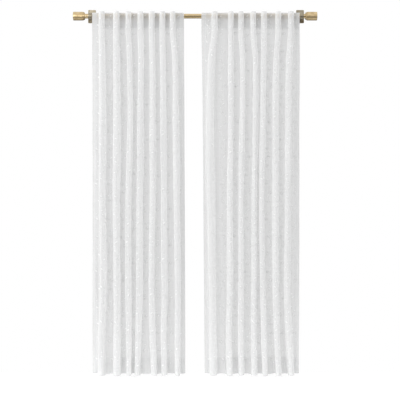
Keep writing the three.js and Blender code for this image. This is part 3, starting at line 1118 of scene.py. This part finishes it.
@dataclass(frozen=True)
class Embroidery:
    """Trailing vines of small leaves and dots, all over a panel."""

    vine_spacing: float = 84.5 * MM  # from one vine to the next across the flat cloth
    vine_sway: float = 9 * MM  # how far a vine wanders to each side
    sway_length: float = 176 * MM  # the length of one wander
    sway_lag: float = 2.4  # radians from one vine's wander to the next one's
    sprig_spacing: float = 52 * MM  # from one leaf to the next down a vine
    sprig_uneven_mm: float = 5.0  # how far a leaf is off its even place, at most
    leaf_offset: float = 11 * MM  # from the vine to the middle of a leaf
    leaf_rise: float = 6 * MM  # how far that is above its place on the vine
    leaf_lean: tuple[float, float] = (0.55, 0.95)  # least and most angle of a leaf, in radians
    dot_offset: float = 9 * MM  # from the vine to a dot on its other side
    dot_drop_mm: tuple[float, float] = (12, 20)  # least and most way from a leaf down to its dot
    stem_radius: float = 0.5 * MM  # half the thickness of a vine
    stem_step: float = 7 * MM  # the length of one straight step of a vine
    margin: float = 14 * MM  # how far the vines stop short of the cloth's top and bottom edges

    leaf = Bead(length=17 * MM, width=8.2 * MM, height=0.4 * MM, stations=5, sides=6)
    dot = Bead(length=7 * MM, width=7 * MM, height=0.45 * MM, stations=3, sides=6, bluntness=0.5)

    def vine(self, number: Array, down: Array) -> Array:
        """Returns where a vine lies across the cloth at some drops, a sine round its own middle line."""
        middle = (number + 0.5) * self.vine_spacing
        return middle + self.vine_sway * np.sin(2 * np.pi * down / self.sway_length + self.sway_lag * number)

    def surface(self, cloth: HungCloth, seed: int) -> Surface:
        """Lays the vines, leaves and dots on a panel.

        Leaves stand on the two sides of a vine by turns, and every other vine's start half a spacing
        lower. Each leaf has a dot below it, across the vine.

        Args:
            cloth: the hanging cloth.
            seed: what sets the small unevenness of the hand.

        Returns:
            All of it as one surface.
        """
        draw = np.random.default_rng(seed)
        vines = int(CLOTH.flat_width / self.vine_spacing)
        rows = int((CLOTH.drop - 2 * self.margin) / self.sprig_spacing)
        number, row = (m.ravel() for m in np.meshgrid(np.arange(vines), np.arange(rows), indexing="ij"))
        size, most = number.shape, self.sprig_uneven_mm
        side = np.where((row + number) % 2 == 0, 1.0, -1.0)
        stagger = np.where(number % 2 == 0, 0.25, 0.75)
        down = self.margin + (row + stagger) * self.sprig_spacing + draw.uniform(-most, most, size) * MM
        at_vine = self.vine(number, down)
        lean = side * draw.uniform(*self.leaf_lean, size)
        leaf_heading = np.where(side > 0, -lean, np.pi - lean)
        beside = at_vine + side * self.leaf_offset
        leaves = self.leaf.sewn(cloth, beside, down - self.leaf_rise, leaf_heading)
        dot_down = down + draw.uniform(*self.dot_drop_mm, size) * MM
        opposite = self.vine(number, dot_down) - side * self.dot_offset
        dots = self.dot.sewn(cloth, opposite, dot_down, draw.uniform(0, np.pi, size))
        return joined([self.stems(cloth, vines), leaves, dots])

    def stems(self, cloth: HungCloth, vines: int) -> Surface:
        """Carries a flat four-sided section down each vine, half in front of the cloth and half behind.

        Args:
            cloth: the hanging cloth.
            vines: how many there are.

        Returns:
            The stems as one surface, each closed at both ends.
        """
        steps = int((CLOTH.drop - 2 * self.margin) / self.stem_step)
        down = np.linspace(self.margin, CLOTH.drop - self.margin, steps)[:, None]
        angle = np.arange(4) * np.pi / 2
        width = np.full((steps, 1), self.stem_radius)
        width[[0, -1]] = 0
        found = []
        for number in range(vines):
            across = self.vine(np.array(number), down) + width * np.cos(angle)
            points = cloth.at(across, down, -width * np.sin(angle))
            found.append(spindle(points, np.stack(np.broadcast_arrays(down, across), -1)))
        return joined(found)


@dataclass(frozen=True)
class Seams:
    """The rows of machine stitches that hold a panel's bands and side hems."""

    pitch: float = 3.4 * MM  # from one stitch to the next
    inset: float = 2.5 * MM  # how far a row lies inside the raw edge that it holds

    stitch = Bead(length=2.9 * MM, width=0.55 * MM, height=0.35 * MM, stations=2, sides=4, bluntness=0.6)

    def surface(self, cloth: HungCloth) -> Surface:
        """Sews the four rows of a panel: heading, bottom hem and both sides.

        Args:
            cloth: the hanging cloth.

        Returns:
            All the stitches as one surface.
        """
        along = np.arange(self.pitch, CLOTH.flat_width - self.pitch, self.pitch)
        down = np.arange(self.pitch, CLOTH.drop - self.pitch, self.pitch)
        inside, upright = CLOTH.side_hem - self.inset, np.pi / 2
        rows = (
            (along, CLOTH.heading_band - self.inset, 0.0),
            (along, CLOTH.drop - CLOTH.hem_band + self.inset, 0.0),
            (inside, down, upright),
            (CLOTH.flat_width - inside, down, upright),
        )
        return joined([self.stitch.sewn(cloth, *row) for row in rows])


@dataclass(frozen=True)
class BackTab:
    """A doubled strip of voile that loops from the back of the heading over the rod."""

    width: float = 30 * MM
    thickness: float = 0.8 * MM  # of its two layers together
    seat: float = 0.55 * MM  # half the thickness of the space that the strip has on the rod
    length: float = 82 * MM  # from the top of the loop to its lower end
    top_lap: float = 5 * MM  # how far its upper end is sewn down
    bottom_lap: float = 12 * MM  # how far its lower end is sewn down
    pattern_start: float = 50 * MM  # where its middle lies across the weave

    ARC_POINTS, LINE_POINTS, WIDTH_POINTS = 22, 90, 9  # over the rod, along the strip and across it
    SQUARENESS = 8  # how square its section is

    def line(self) -> Array:
        """The strip's middle line, seen along the rod, with y towards the wall and z up.

        It laps the back of the heading, passes over the rod on a circle, leaves the circle on a straight
        line that touches it, and laps the heading again.

        Returns:
            Rows of y and z from the rod's axis, close together.
        """
        seam = -(HARDWARE.rod_radius + CLOTH.rod_clearance) + HARDWARE.gap + self.seat
        on_rod = HARDWARE.rod_radius + HARDWARE.gap + self.seat
        bottom = on_rod - self.length
        lower = np.array([seam, bottom + self.bottom_lap])
        to_seam = math.pi + math.atan(seam / lower[1])
        leaves = to_seam - math.acos(on_rod / float(np.hypot(*lower)))
        arc = np.linspace(0, leaves, self.ARC_POINTS)
        over = np.stack([on_rod * np.sin(arc), on_rod * np.cos(arc)], -1)
        corners = np.vstack([[seam, on_rod - self.top_lap], [seam, on_rod], over, lower, [seam, bottom]])
        way = way_along(corners)
        even = np.linspace(0, way[-1], self.LINE_POINTS)
        return np.stack([np.interp(even, way, corners[:, 0]), np.interp(even, way, corners[:, 1])], -1)

    def surface(self) -> Surface:
        """Carries the strip's flat section along its middle line.

        At a share s of the half width, the section's half thickness is half the strip's, times the square
        root of one less s to a high power.

        Returns:
            The closed strip, with its middle at x = 0 and the rod's axis at the origin.
        """
        line = self.line()
        along = np.gradient(line, axis=0)
        along /= np.hypot(*along.T)[:, None]
        side = np.stack([-along[:, 1], along[:, 0]], -1)
        across = np.cos(np.linspace(0, np.pi, self.WIDTH_POINTS)) * self.width / 2
        full = np.sqrt(np.clip(1 - (across / (self.width / 2)) ** self.SQUARENESS, 0, 1))
        fat = full * self.thickness / 2
        x = np.r_[across, across[-2:0:-1]]
        lift = np.r_[fat, -fat[-2:0:-1]]
        count, last_row = len(x), len(line) - 1
        points = np.empty((len(line), count, 3))
        points[..., 0] = x
        points[..., 1:] = line[:, None] + side[:, None] * lift[None, :, None]
        uv = np.stack(np.broadcast_arrays(x[None] + self.pattern_start, way_along(line)[:, None]), -1)
        i = np.arange(self.WIDTH_POINTS - 2)
        cap = np.stack([i + 1, i + 2, (count - i - 2) % count, (count - i - 1) % count], -1)
        first = np.vstack([[0, 1, count - 1, count - 1], cap])
        last = (first + last_row * count)[:, ::-1]
        faces = np.vstack([grid_faces(len(line), count, round_columns=True), first, last])
        level = {STAND: np.zeros(len(line) * count)}
        return Surface(points.reshape(-1, 3), faces, uv.reshape(-1, 2), level)


class Side(Enum):
    """Which of two: panels, finials or brackets."""

    LEFT = "left"
    RIGHT = "right"


@dataclass(frozen=True)
class CurtainPanel:
    """One panel of voile with its hems, seams, embroidery and back tabs."""

    side: Side  # which panel it is
    drape: Drape  # how it hangs

    COLUMNS = 372  # faces across the finished width
    BODY_ROWS = 150  # faces down, between the heading band and the hem band
    BAND_ROWS = 10  # rows of points down each band
    TURN = 3  # points round a folded edge
    LAYER_SHIFT = 3  # how far a turned layer's weave is shifted, over its distance behind the face

    def folded(self, face: Array, back: tuple[float, float], lift: float) -> tuple[Array, Array]:
        """The way across or down the cloth, with its folded edges.

        It runs in from the raw edge behind, round the first folded edge, over the face, round the other
        and back behind. Round an edge it is half a circle.

        Args:
            face: places of the face layer, from one folded edge to the other.
            back: how wide the turned layer is at the first edge and at the last.
            lift: how far behind the face the turned layers lie.

        Returns:
            The places, and how far each lies behind the face.
        """
        angle = np.linspace(0, np.pi, self.TURN + 2)[1:-1]
        out, depth = lift / 2 * np.sin(angle), lift / 2 * (1 + np.cos(angle))
        first, last = np.linspace(back[0], 0, self.BAND_ROWS), np.linspace(0, back[1], self.BAND_ROWS)
        layer = np.full(self.BAND_ROWS, lift)
        places = [first, -out, face, face[-1] + out, face[-1] - last]
        behind = [layer, depth, np.zeros(len(face)), depth[::-1], layer]
        return np.concatenate(places), np.concatenate(behind)

    def sheet(self, cloth: HungCloth) -> Surface:
        """The whole cut cloth as one sheet, with its four edges turned behind it.

        Args:
            cloth: the hanging cloth.

        Returns:
            The sheet, with distances on the finished cloth as its uv.
        """
        hem_top = CLOTH.drop - CLOTH.hem_band
        rows = (
            np.linspace(0, CLOTH.heading_band, self.BAND_ROWS),
            np.linspace(CLOTH.heading_band, hem_top, self.BODY_ROWS + 1)[1:],
            np.linspace(hem_top, CLOTH.drop, self.BAND_ROWS)[1:],
        )
        columns = np.linspace(0, CLOTH.flat_width, self.COLUMNS + 1)
        bands, hems = (CLOTH.heading_band, CLOTH.hem_band), (CLOTH.side_hem, CLOTH.side_hem)
        down, down_behind = self.folded(np.concatenate(rows), bands, CLOTH.band_lift)
        across, across_behind = self.folded(columns, hems, CLOTH.side_lift)
        s, t = np.meshgrid(across, down)
        points = cloth.at(s, t, -(down_behind[:, None] + across_behind[None]))
        u = s + self.LAYER_SHIFT * across_behind[None]
        v = t + self.LAYER_SHIFT * down_behind[:, None]
        stand = {STAND: cloth.steepness(s, t).ravel()}
        faces = grid_faces(len(down), len(across))
        return Surface(points.reshape(-1, 3), faces, np.stack([u, v], -1).reshape(-1, 2), stand)

    def build(self, finishes: Finishes) -> list[bpy.types.Object]:
        """Makes the panel and everything sewn to it.

        Args:
            finishes: the materials.

        Returns:
            The pieces.
        """
        side = self.side.value
        cloth = HungCloth(self.drape)
        panel = dressed(
            self.sheet(cloth), f"{side}_voile_panel", finishes.voile, Slot.VOILE, f"{side}_panel"
        )
        stitching = Embroidery().surface(cloth, self.drape.seed)
        vines = dressed(stitching, f"{side}_embroidery", finishes.embroidery, Slot.VOILE)
        seams = dressed(Seams().surface(cloth), f"{side}_seam_stitches", finishes.sewing, Slot.VOILE)
        tab = BackTab()
        strip, length = tab.surface(), float(way_along(tab.line())[-1])
        tabs = []
        for i, x in enumerate(self.drape.flat_middles(), start=1):
            name, node = f"{side}_back_tab_{i}", f"{side}_tab_{i}"
            piece = dressed(strip.moved(x, *HARDWARE.axis), name, finishes.tab_voile, Slot.TAB_VOILE, node)
            tabs.append(piece)
        return [panel, vines, seams, *tabs]


# ---- metalwork


@dataclass(frozen=True)
class BrassRod:
    """The rod, a plain polished bar whose ends are plugged into the finials."""

    steps: int = 96  # faces round it
    end_round: float = 1.2 * MM

    def build(self, finishes: Finishes) -> list[bpy.types.Object]:
        """Makes the rod, a rounded profile turned on its axis.

        Args:
            finishes: the materials.

        Returns:
            The piece, in a list.
        """
        start = HARDWARE.rod_left_end - HARDWARE.plug_depth
        end = HARDWARE.rod_right_end + HARDWARE.plug_depth
        radius, edge = HARDWARE.rod_radius, self.end_round
        corners = [(0, start, 0), (radius, start, edge), (radius, end, edge), (0, end, 0)]
        rod = turned(rounded(corners, steps=4), self.steps).moved(0, *HARDWARE.axis)
        return [dressed(rod, "brass_rod", finishes.brass, Slot.ROD_BRASS, "rod")]


@dataclass(frozen=True)
class Finial:
    """A turned drum with a ferrule, a groove and a shallow sunk end face."""

    radius: float = 25.5 * MM
    length: float = 67 * MM
    ferrule_radius: float = 22.5 * MM
    ferrule_length: float = 5 * MM
    groove: float = 2.2 * MM  # its width and its depth
    rim: float = 4.4 * MM  # from the drum's outside to the sunk face
    dish: float = 1.2 * MM  # how deep the face is sunk
    groove_edge: float = 0.3 * MM  # the radii that its edges are rounded to
    small_edge: float = 0.6 * MM
    drum_edge: float = 1.6 * MM
    steps: int = 96  # faces round it

    def surface(self) -> Surface:
        """One finial, a rounded profile turned on its axis.

        Returns:
            The finial with its mouth at x = 0, pointing along +X.
        """
        socket, depth = HARDWARE.rod_radius + HARDWARE.gap, HARDWARE.plug_depth + HARDWARE.gap
        drum, inner = self.ferrule_length + self.groove, self.ferrule_radius - self.groove
        rim, floor = self.radius - self.rim, self.length - self.dish
        fine, small, large = self.groove_edge, self.small_edge, self.drum_edge
        corners = [
            (0, depth, 0),
            (socket, depth, 0),
            (socket, 0, small),
            (self.ferrule_radius, 0, small),
            (self.ferrule_radius, self.ferrule_length, small),
            (inner, self.ferrule_length, fine),
            (inner, drum, fine),
            (self.radius, drum, large),
            (self.radius, self.length, large),
            (rim, self.length, small),
            (rim - self.dish, floor, small),
            (0, floor, 0),
        ]
        return turned(rounded(corners, steps=5), self.steps)

    def build(self, finishes: Finishes) -> list[bpy.types.Object]:
        """Makes both finials.

        Args:
            finishes: the materials.

        Returns:
            The two pieces.
        """
        one = self.surface()
        placed = {
            Side.RIGHT: one.moved(HARDWARE.rod_right_end, *HARDWARE.axis),
            Side.LEFT: one.mirrored().moved(HARDWARE.rod_left_end, *HARDWARE.axis),
        }
        return [
            dressed(
                shape, f"{side.value}_drum_finial", finishes.brushed, Slot.ROD_BRASS, f"{side.value}_finial"
            )
            for side, shape in placed.items()
        ]


@dataclass(frozen=True)
class WallBracket:
    """A wall plate, and an arm with a collar that ends in a ring round the rod."""

    plate_width: float = 47 * MM
    plate_height: float = 79 * MM
    plate_thickness: float = 5 * MM
    corner_radius: float = 5 * MM
    plate_bevel: float = 1 * MM
    ring_radius: float = 20 * MM
    ring_width: float = 22 * MM
    ring_bevel: float = 1.5 * MM
    arm_radius: float = 6.5 * MM
    collar_radius: float = 12 * MM
    collar_length: float = 5 * MM
    collar_edge: float = 1 * MM  # the radius of the collar's edges
    fine_edge: float = 0.4 * MM  # the radius of the ring's inner edges and of the collar's foot
    buried: float = 3 * MM  # how deep the arm's end lies in the ring's wall
    weld: float = 2.5 * MM  # how far the arm's flare reaches from the ring
    weld_spread: float = 0.6  # how much thicker the arm gets there, over that reach
    weld_round: float = 4 * MM  # the radius of the flare's narrow end
    weld_start: float = 0.6 * MM  # how far inside the ring's outside the flare starts
    steps: int = 72  # faces round the ring
    hold: float = 0.2 * MM  # rows of points this close to the plate's edges keep its flats flat

    BEVEL_POINTS, CORNER_POINTS = 6, 9  # round the plate's bevel and round one of its corners

    def plate(self) -> Surface:
        """The plate, as rounded rectangles from the middle of its back to the middle of its front.

        Each outline is the plate's own, drawn in by an inset, at its own distance from the wall.

        Returns:
            The closed plate, its back on the wall at y = 0.
        """
        bevel, thick, hold = self.plate_bevel, self.plate_thickness, self.hold
        turn = np.linspace(0, np.pi / 2, self.BEVEL_POINTS)
        inset = np.r_[2 * hold, hold, 0, 0, bevel * (1 - np.cos(turn)), bevel + hold]
        depth = np.r_[0, 0, hold, thick - bevel - hold, thick - bevel + bevel * np.sin(turn), thick]
        corner = np.linspace(0, np.pi / 2, self.CORNER_POINTS)
        angle = np.concatenate([corner + quarter * np.pi / 2 for quarter in range(4)])
        centre_x = (self.plate_width / 2 - self.corner_radius) * np.repeat([1, -1, -1, 1], len(corner))
        centre_z = (self.plate_height / 2 - self.corner_radius) * np.repeat([1, 1, -1, -1], len(corner))
        radius = (self.corner_radius - inset)[:, None]
        x = centre_x + radius * np.cos(angle)
        z = centre_z + radius * np.sin(angle)
        outlines = np.stack([x, np.broadcast_to(-depth[:, None], x.shape), z], -1)
        middle = np.zeros((1, len(angle), 3))
        points = np.concatenate([middle, outlines, middle + np.array([0, -thick, 0])])
        return spindle(points, points[..., [0, 2]], backwards=True)

    def ring(self) -> Surface:
        """The ring round the rod, a rounded rectangle turned on the rod's axis.

        Returns:
            The ring, its middle at the origin.
        """
        bore, half = HARDWARE.rod_radius + HARDWARE.gap, self.ring_width / 2
        radius, fine, bevel = self.ring_radius, self.fine_edge, self.ring_bevel
        corners = [(bore, -half, fine), (radius, -half, bevel), (radius, half, bevel), (bore, half, fine)]
        return turned(rounded(corners, steps=5), self.steps, ring=True)

    def arm(self) -> Surface:
        """The arm and its collar, turned round the way to the wall.

        Its profile runs from inside the ring's wall, flares into the ring as a weld, keeps its radius,
        and steps out to the collar on the plate. The end in the ring is hidden in the ring's wall.

        Returns:
            The closed arm, with the ring's middle at the origin and the wall towards +Y.
        """
        foot = HARDWARE.rod_from_wall - self.plate_thickness - HARDWARE.gap
        start = self.ring_radius - self.buried
        shoulder = foot - self.collar_length
        flared = self.arm_radius + self.weld * self.weld_spread
        corners = [
            (0, start, 0),
            (flared, start, 0),
            (flared, self.ring_radius - self.weld_start, 0),
            (self.arm_radius, self.ring_radius + self.weld, self.weld_round),
            (self.arm_radius, shoulder, self.collar_edge),
            (self.collar_radius, shoulder, self.collar_edge),
            (self.collar_radius, foot, self.fine_edge),
            (0, foot, 0),
        ]
        arm = turned(rounded(corners, steps=5), self.steps // 2)
        return replace(arm, points=arm.points[:, [1, 0, 2]] * np.array([-1, 1, 1]))

    def build(self, finishes: Finishes) -> list[bpy.types.Object]:
        """Makes both brackets.

        Args:
            finishes: the materials.

        Returns:
            The four pieces.
        """
        plate, holder = self.plate(), joined([self.ring(), self.arm()])
        pieces = []
        for side, x in ((Side.LEFT.value, 0.0), (Side.RIGHT.value, HARDWARE.second_bracket)):
            for shape, name, node in (
                (plate.moved(x, 0, 0), f"{side}_bracket_plate", f"{side}_wall_plate"),
                (holder.moved(x, *HARDWARE.axis), f"{side}_bracket_arm", f"{side}_ring_arm"),
            ):
                pieces.append(dressed(shape, name, finishes.shaded_brass, Slot.BRACKET_BRASS, node))
        return pieces


# ---- studio


@dataclass(frozen=True)
class SoftLight:
    """One rectangular studio light."""

    name: str
    place: Place
    size: tuple[float, float]  # its width and height
    power: float  # in watts

    def build(self, target: Vector) -> None:
        """Makes the light.

        Args:
            target: the point that it is turned towards.
        """
        lamp = bpy.data.lights.new(self.name, "AREA")
        lamp.shape = "RECTANGLE"
        lamp.size, lamp.size_y = self.size
        lamp.energy = self.power
        light = bpy.data.objects.new(self.name, lamp)
        light.location = self.place
        light.rotation_euler = (target - Vector(self.place)).to_track_quat("-Z", "Y").to_euler()
        bpy.context.scene.collection.objects.link(light)


@dataclass(frozen=True)
class Studio:
    """The camera, the lights, the white backdrop and the pale floor."""

    camera_place: Place = (0.6497, -5.307, -0.9834)  # it looks level, straight at the wall
    lens_mm: float = 79.3
    sensor_mm: float = 36.0
    shift_y: float = -0.05  # how far the frame is shifted up or down
    far: float = 100.0  # how far the camera sees
    floor_gap: float = 15 * MM  # how far the hem hangs above the floor
    floor_size: tuple[float, float] = (3.0, 0.75)  # its width and depth
    shadowed_backdrop: float = 0.77  # how bright the backdrop is where seen through the cloth: a painted shadow of the cloth on a wall behind it
    level: float = 0.25  # the brightness all round, at the height of the eye and below it
    sky: float = 0.86  # how much brighter it is overhead
    sky_rise: tuple[float, float] = (-0.15, 0.65)  # from which to which height that comes on
    nadir: float = 0.35  # how much brighter it is straight below
    nadir_rise: tuple[float, float] = (0.55, 0.95)  # from which to which depth that comes on
    clear_bounces: int = 48  # how many clear layers light goes through
    bounces: int = 16
    diffuse_bounces: int = 10

    lights = (
        SoftLight("key_light", (-3.6, -2.0, 0.2), (1.4, 2.4), 110),
        SoftLight("left_fill", (-1.5, -4.6, -0.2), (1.6, 2.2), 73),
        SoftLight("side_light", (4.9, -2.0, 0.3), (1.4, 2.4), 40),
        SoftLight("right_fill", (2.8, -4.6, 0.2), (1.6, 2.2), 19),
    )

    def camera(self) -> None:
        """Makes the scene's camera."""
        data = bpy.data.cameras.new("camera")
        data.lens, data.sensor_width, data.shift_y = self.lens_mm, self.sensor_mm, self.shift_y
        data.clip_end = self.far
        camera = bpy.data.objects.new("camera", data)
        camera.location = self.camera_place
        camera.rotation_euler = (math.pi / 2, 0, 0)
        bpy.context.scene.collection.objects.link(camera)
        bpy.context.scene.camera = camera

    def world(self) -> None:
        """Makes the backdrop white for the camera but dimmer through the cloth, a painted shadow, and for
        everything else brighter above and below.
        """
        scene = bpy.context.scene
        scene.world = scene.world or bpy.data.worlds.new("world")
        graph = Graph(scene.world)
        path = graph.node("ShaderNodeLightPath", {}, {})
        _, _, up = graph.split(graph.node("ShaderNodeTexCoord", {}, {}).outputs["Generated"])
        overhead = up.between(*self.sky_rise) * self.sky
        light = overhead + (0 - up).between(*self.nadir_rise) * self.nadir + self.level
        # painted shadow: the backdrop seen through any clear layer of cloth is dimmed
        behind = Value(graph, path.outputs["Transparent Depth"]).held(0, 1) * (1 - self.shadowed_backdrop)
        seen = graph.background(1 - behind)
        graph.finish(graph.mix(path.outputs["Is Camera Ray"], graph.background(light), seen))
        scene.view_settings.view_transform = "Standard"
        scene.cycles.transparent_max_bounces = self.clear_bounces
        scene.cycles.max_bounces = scene.cycles.transmission_bounces = self.bounces
        scene.cycles.diffuse_bounces = self.diffuse_bounces

    def floor(self, low: Vector, high: Vector, finishes: Finishes) -> None:
        """Lays the floor under the object, as far as the wall.

        Args:
            low: the object's lowest corner.
            high: its highest corner.
            finishes: the materials.
        """
        middle, z = (low.x + high.x) / 2, low.z - self.floor_gap
        width, depth = self.floor_size
        sides, ends = (middle - width / 2, middle + width / 2), (high.y, high.y - depth)
        points = np.array([(x, y, z) for x in sides for y in ends])
        floor = Surface(points, grid_faces(2, 2), points[:, :2]).to_object("floor")
        floor.data.materials.append(finishes.floor)
        floor.visible_transmission = False  # so that no glare comes through the hem from behind
        floor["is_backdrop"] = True

    def build(self, low: Vector, high: Vector, finishes: Finishes) -> None:
        """Sets the stage round the object's box.

        Args:
            low: the box's lowest corner.
            high: its highest corner.
            finishes: the materials.
        """
        self.world()
        self.floor(low, high, finishes)
        for light in self.lights:
            light.build((low + high) / 2)


# ---- main


def main() -> None:
    """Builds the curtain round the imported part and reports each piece."""
    logging.basicConfig(level=logging.INFO, format="%(message)s", stream=sys.stdout)
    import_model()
    cad_low, cad_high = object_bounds()
    studio = Studio()
    studio.camera()
    finishes = Finishes()
    studio.build(cad_low, cad_high, finishes)
    left = Drape(
        start_mm=13.1,
        left_edge=(0, 0, 0, 0, 0, 0, 0),
        right_edge=(542, 543, 545, 547, 549, 550, 550),
        folds=LEFT_FOLDS,
        seed=11,
    )
    right = Drape(
        start_mm=658.6,
        left_edge=(0, 3, 7, 11, 14, 17, 19),
        right_edge=(579, 581, 580, 580, 579, 578, 577),
        folds=RIGHT_FOLDS,
        seed=23,
    )
    panels = CurtainPanel(Side.LEFT, left), CurtainPanel(Side.RIGHT, right)
    for assembly in (BrassRod(), Finial(), WallBracket(), *panels):
        for piece in assembly.build(finishes):
            mesh = piece.data
            LOG.info("%s: %d points, %d faces", piece.name, len(mesh.vertices), len(mesh.polygons))


if __name__ == "__main__":
    main()
